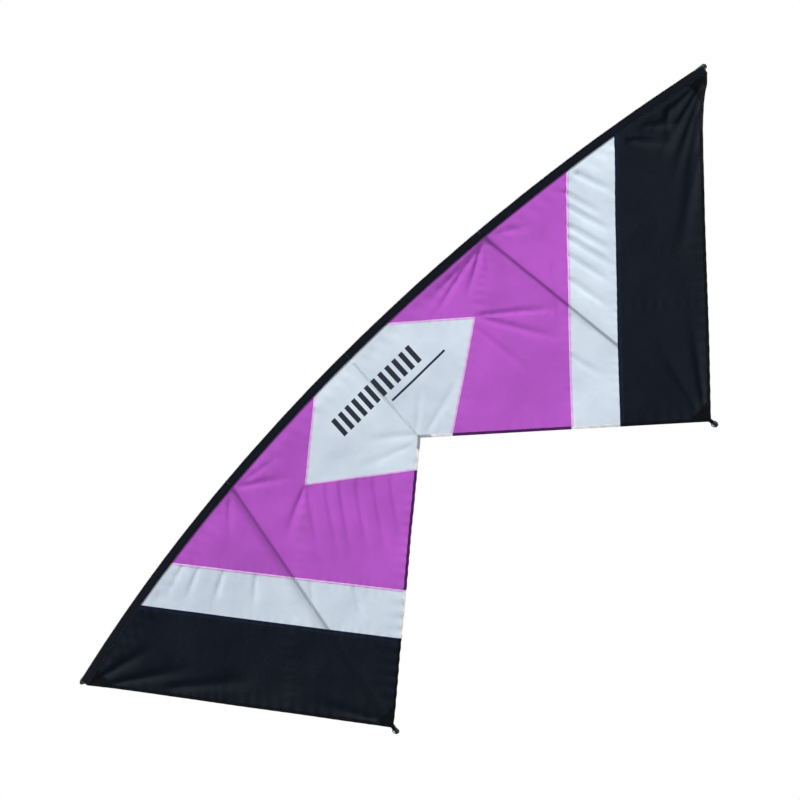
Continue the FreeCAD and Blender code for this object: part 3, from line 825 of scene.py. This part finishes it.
def sail_areas(wing):
    """Which faces of a wing make up each piece of its sail."""
    leech = wing.right_of(FOOT_FLAT, SAIL_TIP, -HEM_WIDTH)
    trailing = ~wing.right_of(FOOT_FLAT, NOTCH_FLAT, HEM_WIDTH) & ~leech
    center = ~wing.right_of(WHITE_POINT, WHITE_TOP) & ~wing.right_of(WHITE_FOOT, WHITE_POINT)
    tip = wing.right_of(STRIPE_OUT_FOOT, STRIPE_OUT_TOP)
    stripe = wing.right_of(STRIPE_IN_FOOT, STRIPE_IN_TOP) & ~tip
    inner = ~center & ~stripe & ~tip
    notch = trailing & (wing.x < NOTCH_REACH)
    tip_corner = wing.right_of(TIP_PATCH_LOW, TIP_PATCH_HIGH)
    foot_corner = wing.right_of(FOOT_PATCH_IN, FOOT_PATCH_OUT) & (wing.z < FOOT_PATCH_OUT[1] + CELL)
    white_top = center & wing.right_of(WHITE_POINT, WHITE_TOP, -PINK_OVERLAP)
    white_foot = center & wing.right_of(WHITE_FOOT, WHITE_POINT, -PINK_OVERLAP) & ~white_top
    stripe_in = stripe & ~wing.right_of(STRIPE_IN_FOOT, STRIPE_IN_TOP, PINK_OVERLAP)
    stripe_out = tip & ~wing.right_of(STRIPE_OUT_FOOT, STRIPE_OUT_TOP, NAVY_OVERLAP)
    seam = wing.x < CENTER_OVERLAP
    single = ~(leech | trailing | white_top | white_foot | stripe_in | stripe_out | seam)
    return {
        "center_cloth": center & single,
        "inner_cloth": inner & single,
        "stripe_cloth": stripe & single,
        "tip_cloth": tip & single,
        "center_hem": trailing & center & ~notch,
        "inner_hem": trailing & inner & ~notch,
        "stripe_hem": trailing & stripe,
        "tip_hem": trailing & tip,
        "leech_hem": leech,
        "notch_binding": notch,
        "center_top_overlap": white_top & ~trailing,
        "center_foot_overlap": white_foot & ~trailing,
        "stripe_in_overlap": stripe_in & ~trailing,
        "stripe_out_overlap": stripe_out & ~trailing,
        "center_seam": seam & ~trailing,
        "tip_corner_patch": tip_corner & ~leech,
        "foot_corner_patch": foot_corner & ~leech & ~trailing,
    }


# Each piece of the sail: its material, its slot, and the CAD node that it shows in place of, if any,
# with the wing's name to come in the braces.
SAIL_PIECES = {
    "center_cloth": ("white_print", "cloth_white", "center_panel_{}"),
    "inner_cloth": ("magenta", "cloth_magenta", "inner_panel_{}"),
    "stripe_cloth": ("white", "cloth_white", "stripe_panel_{}"),
    "tip_cloth": ("black", "cloth_black", "tip_panel_{}"),
    "center_hem": ("white_hem_painted_light", "cloth_white", "trailing_tape_{}"),
    "inner_hem": ("magenta_hem", "cloth_magenta", "trailing_tape_{}"),
    "stripe_hem": ("white_hem_painted_light", "cloth_white", "trailing_tape_{}"),
    "tip_hem": ("black_hem", "edge_tape", "trailing_tape_{}"),
    "leech_hem": ("black_hem", "edge_tape", "leech_tape_{}"),
    "notch_binding": ("binding", "binding", "notch_binding"),
    "center_top_overlap": ("magenta_overlap", "cloth_magenta", None),
    "center_foot_overlap": ("magenta_overlap", "cloth_magenta", None),
    "stripe_in_overlap": ("magenta_overlap", "cloth_magenta", None),
    "stripe_out_overlap": ("navy_overlap", "cloth_black", None),
    "center_seam": ("white_overlap", "cloth_white", None),
    "tip_corner_patch": ("patch", "patch", "tip_patch_{}"),
    "foot_corner_patch": ("patch", "patch", "foot_patch_{}"),
}

# Which way the weave of each panel runs. The center panel's runs upright.
GRAINS = {
    "inner_cloth": grain_of(NOTCH_FLAT, SAIL_TIP),
    "stripe_cloth": grain_of(STRIPE_IN_FOOT, STRIPE_IN_TOP),
    "tip_cloth": grain_of(FOOT_FLAT, SAIL_TIP),
}


def build_sail(wing, kit):
    """The four panels of one wing, its hems, overlaps and corner patches."""
    areas = sail_areas(wing)
    made = {}
    for name, (material, slot, node) in SAIL_PIECES.items():
        piece = wing.take(name, areas[name], kit[material], GRAINS.get(name, 0.0))
        last_word = name.split("_")[-1]
        if last_word in THICKNESS:
            thicken(piece, THICKNESS[last_word])
        if node:
            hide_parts(node.format(wing.name))
        made[name] = piece
    return made


# Stitching


def thread(name, lines, material):
    """Short straight stitches between points, as slim raised ribs. Each line is (points, outward)."""
    vertices = []
    faces = []
    for points, outward in lines:
        points = np.asarray(points)
        outward = np.broadcast_to(outward, points.shape)
        for start, end, up in zip(points, points[1:], outward):
            run = unit(end - start)
            side = unit(np.cross(run, up)) * THREAD_HALF
            base = len(vertices)
            crest = unit(up) * THREAD_HALF * 1.3
            vertices += [start - side, start + crest, start + side, end - side, end + crest, end + side]
            faces += [(base, base + 1, base + 4, base + 3), (base + 1, base + 2, base + 5, base + 4)]
    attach(link_mesh(name, vertices, faces, material), "sail")


def zigzag(wing, low, high, shift, lift):
    """A zigzag row along a line on the cloth, lifted to its front or, below zero, to its back."""
    low, high = np.asarray(low), np.asarray(high)
    run = unit(high - low)
    right = np.array((run[1], -run[0]))
    count = int(np.linalg.norm(high - low) / ZIGZAG_PITCH * 2)
    points = []
    for i in range(count + 1):
        aside = shift + (ZIGZAG_SWING if i % 2 else -ZIGZAG_SWING)
        x, z = hollowed(*(low + run * (i * ZIGZAG_PITCH / 2) + right * aside), wing.name)
        points.append((x * wing.side, wing.surface_depth(x, z) - lift, z))
    return points, (0, -math.copysign(1, lift), 0)


def on_edge(low, high, edge_low, edge_high, shift):
    """Where a line meets another line moved to the right by shift."""
    a = distance_right(edge_low, edge_high, low[0], low[1]) - shift
    b = distance_right(edge_low, edge_high, high[0], high[1]) - shift
    return np.asarray(low) + np.subtract(high, low) * (a / (a - b))


def stitch_wing(wing, kit):
    """Zigzag rows along the seams and hems, on both faces of the cloth."""
    in_foot, out_foot, white_foot = (
        on_edge(high, low, FOOT_FLAT, NOTCH_FLAT, HEM_WIDTH) for low, high in
        ((STRIPE_IN_FOOT, STRIPE_IN_TOP), (STRIPE_OUT_FOOT, STRIPE_OUT_TOP), (WHITE_FOOT, WHITE_POINT)))
    white_top, in_top, out_top = (np.array((p[0], leading_height(p[0]) - 0.030)) for p in
                                  (WHITE_TOP, STRIPE_IN_TOP, STRIPE_OUT_TOP))
    rows = {
        "white": [(WHITE_POINT, white_top, -SEAM_ROW), (white_foot, WHITE_POINT, -SEAM_ROW),
                  (in_foot, in_top, SEAM_ROW), (NOTCH_FLAT + (0.0, 0.008), (0.0, -0.030), 0.002)],
        "black": [(out_foot, out_top, BLACK_ROW), (out_foot, out_top, NAVY_OVERLAP - BLACK_ROW),
                  (between(TIP_PATCH_LOW, TIP_PATCH_HIGH, 0.012), TIP_PATCH_HIGH, PATCH_ROW),
                  (between(FOOT_PATCH_IN, FOOT_PATCH_OUT, 0.009),
                   between(FOOT_PATCH_OUT, FOOT_PATCH_IN, 0.009), PATCH_ROW),
                  (FOOT_FLAT, SAIL_TIP, -HEM_ROW)],
        "magenta": [],
    }
    # The trailing edge's rows, from one place across the wing to another.
    hem_rows = (("white", 0.03, WHITE_FOOT[0]), ("white", STRIPE_IN_FOOT[0], STRIPE_OUT_FOOT[0]),
                ("magenta", WHITE_FOOT[0], STRIPE_IN_FOOT[0]),
                ("black", STRIPE_OUT_FOOT[0], FOOT_FLAT[0]))
    slope = (FOOT_FLAT[1] - NOTCH_FLAT[1]) / (FOOT_FLAT[0] - NOTCH_FLAT[0])
    for color, *across in hem_rows:
        start, end = (np.array((x, NOTCH_FLAT[1] + slope * x)) for x in across)
        rows[color].append((start, end, -HEM_ROW))
    for color, lines in rows.items():
        drawn = [zigzag(wing, *line, lift) for line in lines for lift in (STITCH_LIFT, -STITCH_LIFT)]
        thread(f"stitches_{color}_{wing.name}", drawn, kit[f"{color}_thread"])


# Leading edge sleeve


def sleeve_path():
    """The sleeve's outer section from its front hem over the crown to its back hem: (back, up)."""
    reach = math.hypot(HEM_HALF, POCKET_LOW)
    tangent = math.atan2(HEM_HALF, POCKET_LOW) + math.acos(POCKET_RADIUS / reach)
    cut_turn = math.asin(CROWN_CUT_FRONT / POCKET_RADIUS)
    turns = np.concatenate((np.linspace(tangent, math.pi + cut_turn, 9),
                            np.linspace(math.pi + cut_turn, 2 * math.pi - tangent, 12)[1:]))
    crown = [(-POCKET_RADIUS * math.sin(a), -POCKET_RADIUS * math.cos(a)) for a in turns]
    front = [(-HEM_HALF, -h) for h in (FRONT_HEM_LOW, 0.015, POCKET_LOW)]
    back = [(HEM_HALF, -h) for h in (POCKET_LOW, 0.015, -WINDOW_LOW, BACK_HEM_LOW)]
    return np.array(front + crown + back)


def build_sleeve(name, kit):
    """One wing's sleeve, open behind the down spar and the tip loop, and slotted at the spar."""
    path = sleeve_path()
    marks = [0, SPAR_STATION - WINDOW_HALF, SPAR_STATION - SLOT_HALF, SPAR_STATION + SLOT_HALF,
             SPAR_STATION + WINDOW_HALF, TAB_STATION, SLEEVE_END]
    stations = [np.linspace(a, b, max(2, round((b - a) / CELL) + 1)) for a, b in zip(marks, marks[1:])]
    stations = np.unique(np.round(np.concatenate(stations), 7))
    columns = len(path)
    section = np.column_stack((path[:, 0] * 0, path))
    outward = section - np.array((0, 0, -POCKET_RADIUS))
    outward /= np.linalg.norm(outward, axis=1)[:, None]
    seed = SLEEVE_SEEDS[name]
    around = np.arange(columns) * 0.0022
    vertices = []
    for station in stations:
        wobble = lumps(around * 0 + station, around, 0.035, seed) * 0.30 * MM
        wobble += lumps(around * 0 + station, around, 0.011, seed + 2) * 0.12 * MM
        vertices.append(carried(section + outward * wobble[:, None], np.full(columns, station)))
    vertices = np.concatenate(vertices)
    faces = []
    for i in range(len(stations) - 1):
        middle = (stations[i] + stations[i + 1]) / 2
        apart = abs(middle - SPAR_STATION)
        windowed = apart < WINDOW_HALF or middle > TAB_STATION
        for j in range(columns - 1):
            back, up = (path[j] + path[j + 1]) / 2
            open_back = back > 0 and up > WINDOW_LOW or back > CROWN_CUT_FRONT and up > CROWN_CUT_LOW
            if windowed and open_back or apart < SLOT_HALF and up > SLOT_LOW:
                continue
            a = i * columns + j
            faces.append((a, a + 1, a + columns + 1, a + columns))
    piece = link_mesh(f"leading_edge_pocket_{name}", vertices, faces, kit["sleeve"], SIDES[name])
    walked = np.concatenate(([0], np.cumsum(np.hypot(*np.diff(path, axis=0).T))))
    set_weave(piece, np.column_stack((np.repeat(stations, columns), np.tile(walked, len(stations)))))
    thicken(piece, SLEEVE_THICKNESS, 1.0)
    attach(piece, "sail")
    stand_for(f"leading_edge_sleeve_{name}")


def stitch_sleeve(name, kit):
    """The stitching through the sleeve's hem, on its front and on its back."""
    lines = []
    end_gap, window_gap = 0.004, 0.014
    spans = [(end_gap, SPAR_STATION - window_gap), (SPAR_STATION + window_gap, TAB_STATION - end_gap)]
    for start, end in spans:
        stations = np.arange(start, end, SLEEVE_PITCH / 2)
        swing = np.where(np.arange(len(stations)) % 2, SLEEVE_SWING, -SLEEVE_SWING)
        for face, depth in ((-1, 0.0155), (1, 0.0180)):
            back = np.full(len(stations), face * (HEM_HALF + 0.25 * MM))
            section = np.column_stack((stations * 0, back, swing - depth))
            points = np.array([carried(p, s) for p, s in zip(section, stations)])
            lines.append((points * (SIDES[name], 1, 1), (0, face, 0)))
    thread(f"sleeve_stitches_{name}", lines, kit["black_thread"])


# Fittings


def swept(name, line, material, side, sides=14):
    """A closed round cord along a line of points, with weave coordinates along and round it."""
    line = np.asarray(line, float)
    count = len(line)
    ahead = np.roll(line, -1, 0) - np.roll(line, 1, 0)
    normal = unit(np.cross(line[1] - line[0], line[count // 2] - line[0]))
    vertices = []
    for point, run in zip(line, ahead):
        inward = unit(np.cross(unit(run), normal))
        for k in range(sides):
            turn = 2 * math.pi * k / sides
            vertices.append(point + CORD_RADIUS * (math.cos(turn) * inward + math.sin(turn) * normal))
    faces = []
    for i in range(count):
        for k in range(sides):
            a, b = i * sides, (i + 1) % count * sides
            faces.append((a + k, a + (k + 1) % sides, b + (k + 1) % sides, b + k))
    piece = link_mesh(name, vertices, faces, material, side)
    steps = np.linalg.norm(np.roll(line, -1, 0) - line, axis=1)
    along = np.repeat(np.concatenate(([0], np.cumsum(steps)[:-1])), sides)
    around = np.tile(np.arange(sides) * 2 * math.pi * CORD_RADIUS / sides, count)
    set_weave(piece, np.column_stack((along, around)))
    return piece


def rounded_loop(corners, radius, steps=7):
    """Points along a closed loop with every corner rounded."""
    points = []
    for i, here in enumerate(corners):
        following = corners[(i + 1) % len(corners)]
        back = unit(corners[i - 1] - here)
        ahead = unit(following - here)
        half = math.acos(np.clip(back @ ahead, -1, 1)) / 2
        centre = here + unit(back + ahead) * radius / math.sin(half)
        start = here + back * radius / math.tan(half) - centre
        end = here + ahead * radius / math.tan(half) - centre
        turn = math.acos(np.clip(unit(start) @ unit(end), -1, 1))
        for t in np.linspace(0, 1, steps):
            weight_start = math.sin((1 - t) * turn) / math.sin(turn)
            weight_end = math.sin(t * turn) / math.sin(turn)
            points.append(centre + start * weight_start + end * weight_end)
        points += [here + (following - here) * t for t in (0.35, 0.5, 0.65)]
    return points


def stretching_loop(name, node, nock, channel, side_way, wing, kit):
    """A flat loop of shock cord, from its tab on the sail to a notch on a moving body."""
    reach = side_way * LOOP_HALF_WIDTH
    corners = [nock + reach, nock - reach, channel - reach, channel + reach]
    side = SIDES[wing]
    loop = swept(f"{name}_{wing}", rounded_loop(corners, LOOP_CORNER), kit["cord"], side)
    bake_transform(loop)
    stand_for(f"{node}_{wing}")


def ribbon(name, line, across, material, side):
    """A flat strap that follows a line, with its width across it, as a closed thin solid."""
    line = np.asarray(line, float)
    ahead = np.gradient(line, axis=0)
    half = TAB_THICKNESS / 2
    widths = np.linspace(-TAB_HALF_WIDTH, TAB_HALF_WIDTH, 7)
    edge = np.array((0.55, 0.9, 1.0, 1.0, 1.0, 0.9, 0.55))
    vertices = []
    for point, run in zip(line, ahead):
        out = unit(np.cross(unit(run), across))
        front = [point + across * w + out * half * e for w, e in zip(widths, edge)]
        back = [point + across * w - out * half * e for w, e in zip(widths[::-1], edge[::-1])]
        vertices += front + back
    ring = 2 * len(widths)
    faces = []
    for i in range(len(line) - 1):
        for k in range(ring):
            a, b = i * ring, (i + 1) * ring
            faces.append((a + k, b + k, b + (k + 1) % ring, a + (k + 1) % ring))
    faces.append(tuple(range(ring)))
    last = (len(line) - 1) * ring
    faces.append(tuple(reversed(range(last, last + ring))))
    return link_mesh(name, vertices, faces, material, side)


def wrap(centre, start, end, first, second, steps=10):
    """Points round a centre in the plane of two directions, between two turns in degrees."""
    turns = np.radians(np.linspace(start, end, steps))
    return [centre + TAB_WRAP * (math.cos(a) * first + math.sin(a) * second) for a in turns]


def sewn_tab(name, node, line, across, wing, kit):
    """A webbing tab on the sail, along a line."""
    tab = ribbon(f"{name}_{wing}", line, across, kit["webbing"], SIDES[wing])
    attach(tab, "sail")
    stand_for(f"{node}_{wing}")


def leading_frame(station):
    """A point on the leading edge's arc, and the directions along it, back and up there."""
    origin = carried((0, 0, 0), station)
    return (origin, *(carried(p, station) - origin for p in ((1, 0, 0), (0, 1, 0), (0, 0, 1))))


def build_tip_fitting(wing, kit):
    """The tab behind the sleeve near the tip, folded round a loop that holds the tube's cap."""
    origin, along, back, up = leading_frame(TAB_STATION)
    channel = origin + along * TIP_CHANNEL[0] + back * TIP_CHANNEL[1]
    rise = POCKET_RADIUS + TAB_THICKNESS / 2
    flat = [origin + along * x + back * rise for x in (-TIP_TAB_LENGTH, -0.018, -0.012, -0.006, -0.001)]
    turned = wrap(channel, -90, 105, along, back)
    laid = [origin + along * x + back * (rise + h) for x, h in
            ((-0.004, 0.0018), (-0.010, 0.0013), (-0.017, 0.0013))]
    sewn_tab("tip_webbing", "tip_tab", flat + turned + laid, up, wing, kit)
    nock = carried((-NOCK_DEPTH + CORD_RADIUS + CORD_GAP, 0, 0), TIP_STATION)
    side_way = leading_frame(TIP_STATION)[3]
    stretching_loop("tip_cord", "tip_loop", nock, channel, side_way, wing, kit)


def build_foot_fitting(wing, kit):
    """The tab over the lower corner, with a loop that holds the down spar's foot cap."""
    channel = FOOT - SPAR_BACK * 0.0002 + SPAR_DOWN * FOOT_TAB_DROP
    heights = (FOOT_TAB_RISE, 0.007, 0.003, -0.001)
    apart = SPAR_BACK * 0.0013
    front = [FOOT - apart - SPAR_DOWN * h for h in heights]
    rear = [FOOT + apart - SPAR_DOWN * h for h in heights[::-1]]
    turned = wrap(channel, 160, 380, SPAR_BACK, SPAR_DOWN * -1)
    sewn_tab("foot_webbing", "foot_tab", front + turned + rear, SPAR_SIDE, wing, kit)
    nock = SPAR_END - SPAR_DOWN * (NOCK_DEPTH - CORD_RADIUS - CORD_GAP)
    stretching_loop("foot_cord", "foot_loop", nock, channel, SPAR_SIDE, wing, kit)


def build_spar_ring(wing, kit):
    """The ring of shock cord that holds the down spar's top to the leading edge tube."""
    tangent = unit(joint("right_down_spar_swing")["axis"])
    first = unit(np.cross(tangent, (0, 1, 0)))
    second = np.cross(tangent, first)
    ring = [SPAR_PIVOT + TOP_RING_RADIUS * (math.cos(a) * first + math.sin(a) * second)
            for a in np.linspace(0, 2 * math.pi, 48, endpoint=False)]
    loop = swept(f"spar_cord_{wing}", ring, kit["cord"], SIDES[wing])
    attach(loop, f"{wing}_down_spar")
    stand_for(f"spar_top_loop_{wing}")


def finish_frame_parts(kit):
    """Give the carbon tubes and moulded caps their materials."""
    for name, node in frame["nodes"].items():
        if name.startswith(("center_tube", "outer_tube", "down_spar", "ferrule")):
            material = kit["carbon"]
        elif name.startswith(("tip_cap", "spar_top_cap", "spar_foot_cap")):
            material = kit["plastic"]
        else:
            continue
        node.data.materials.clear()
        node.data.materials.append(material)


def materials():
    """Every material, by the name that the builders use."""
    white, white_glow = (0.76, 0.855, 0.99), (0.88, 0.94, 1.0)
    magenta, magenta_glow, pink = (0.55, 0.125, 0.66), (0.55, 0.115, 0.66), (0.95, 0.74, 1.0)
    black, black_glow = (0.0045, 0.010, 0.024), (0.02, 0.022, 0.032)
    navy, navy_glow = (0.010, 0.026, 0.075), (0.03, 0.05, 0.11)
    tape = (0.005, 0.006, 0.009)
    return {
        "white": cloth_material("white_ripstop", white, white, 0.5),
        "white_print": cloth_material("white_ripstop_printed", white, white, 0.5, printed=True),
        "magenta": cloth_material("magenta_ripstop", magenta, magenta_glow, 0.5),
        "black": cloth_material("black_ripstop", black, black_glow, 0.04, 0.40, 0.34),
        # The white hem is a lighter, more see-through copy of the white cloth: painted light that
        # cancels the shade its folded layers cast.
        "white_hem_painted_light": webbing_material("white_hem_painted_light", (0.97, 0.98, 1.0), 900.0, 0.7, 0.93),
        # The magenta hem is a darker copy of the magenta cloth: painted shade, on top of the real shade
        # of its folded layers.
        "magenta_hem": webbing_material("magenta_hem", (0.26, 0.06, 0.32), 900.0, 0.7, 0.4),
        "black_hem": webbing_material("black_hem", tape, 900.0, 0.7),
        "binding": webbing_material("notch_binding", (0.62, 0.64, 0.66), 900.0, 0.7, 0.7),
        "magenta_overlap": cloth_material("magenta_overlap", pink, pink, 0.85),
        "navy_overlap": cloth_material("navy_overlap", navy, navy_glow, 0.06),
        "white_overlap": cloth_material("white_overlap", white, white_glow, 0.85, printed=True),
        "patch": webbing_material("corner_patch", tape, 700.0),
        "sleeve": webbing_material("sleeve_cloth", (0.005, 0.008, 0.019), 700.0, 0.5, sheen=0.9),
        "webbing": webbing_material("tab_webbing", (0.008, 0.008, 0.010), 1300.0),
        "carbon": carbon_material(),
        "plastic": plastic_material(),
        "cord": cord_material(),
        "white_thread": thread_material("white_thread", (0.86, 0.90, 0.95), 0.6),
        "magenta_thread": thread_material("magenta_thread", (0.30, 0.07, 0.42), 0.3),
        "black_thread": thread_material("black_thread", (0.012, 0.013, 0.018)),
    }


bpy.context.scene.view_settings.view_transform = "Standard"
add_camera()
add_lights()
add_world()
add_floor()

kit = materials()
flat_points, flat_faces = flat_wing()
for wing_name in SIDES:
    build_sleeve(wing_name, kit)
    wing = Wing(wing_name, flat_points, flat_faces)
    build_sail(wing, kit)
    stitch_wing(wing, kit)
    stitch_sleeve(wing_name, kit)
    build_tip_fitting(wing_name, kit)
    build_foot_fitting(wing_name, kit)
    build_spar_ring(wing_name, kit)
finish_frame_parts(kit)
